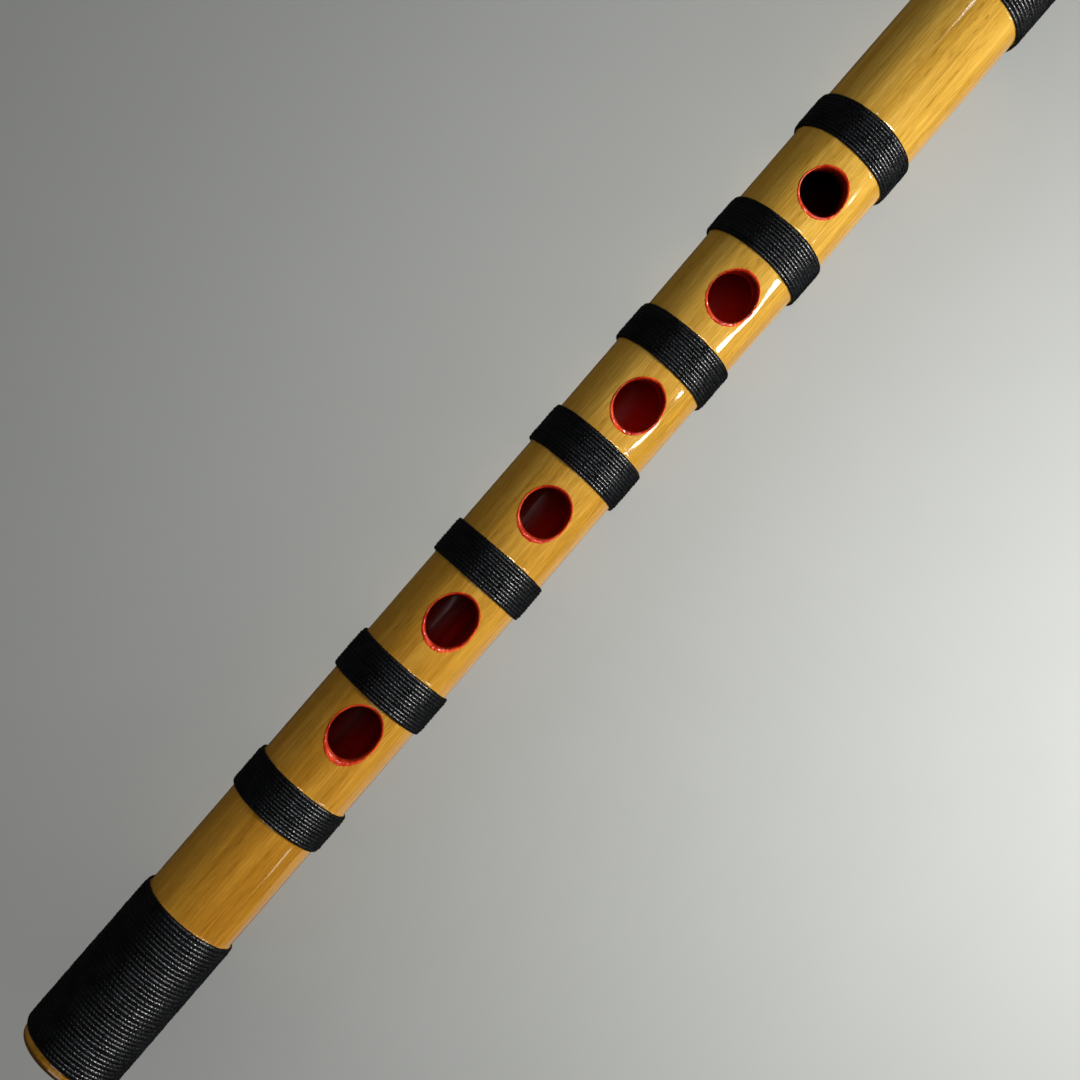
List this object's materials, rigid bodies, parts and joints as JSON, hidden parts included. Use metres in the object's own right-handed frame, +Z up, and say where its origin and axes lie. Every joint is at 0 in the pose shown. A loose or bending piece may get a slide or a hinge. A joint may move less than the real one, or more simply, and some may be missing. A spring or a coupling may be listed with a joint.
{
  "type": "transverse bamboo flute",
  "caption": "Side-blown bamboo flute with thread bindings, oval finger holes, a mouth hole and a red lacquered bore, closed at the head end.",
  "frame": {"origin": "on the resting plane below the middle of the flute's length", "axes": "+X from the foot end to the head end along the bore, +Z up through the finger holes"},
  "size_m": [0.4, 0.0212, 0.0213],
  "materials": {
    "bamboo": "clear amber lacquer over bamboo skin, glossy",
    "red_lacquer": "orange-red lacquer, high gloss",
    "wax": "brown wax, satin",
    "paper": "tightly rolled paper, matte",
    "plug_wood": "turned dark wood, lacquered",
    "thread": "black twisted thread, lacquered, semi-gloss"
  },
  "bodies": {
    "root": {"bamboo_tube": "bamboo", "bore_lacquer": "red_lacquer", "bore_stopper": "wax", "head_packing": "paper", "head_plug": "plug_wood", "foot_binding": "thread", "finger_binding_1": "thread", "finger_binding_2": "thread", "finger_binding_3": "thread", "finger_binding_4": "thread", "finger_binding_5": "thread", "finger_binding_6": "thread", "finger_binding_7": "thread", "middle_binding": "thread", "mouth_binding_foot_side": "thread", "mouth_binding_head_side": "thread", "head_binding": "thread"}
  },
  "joints": []
}
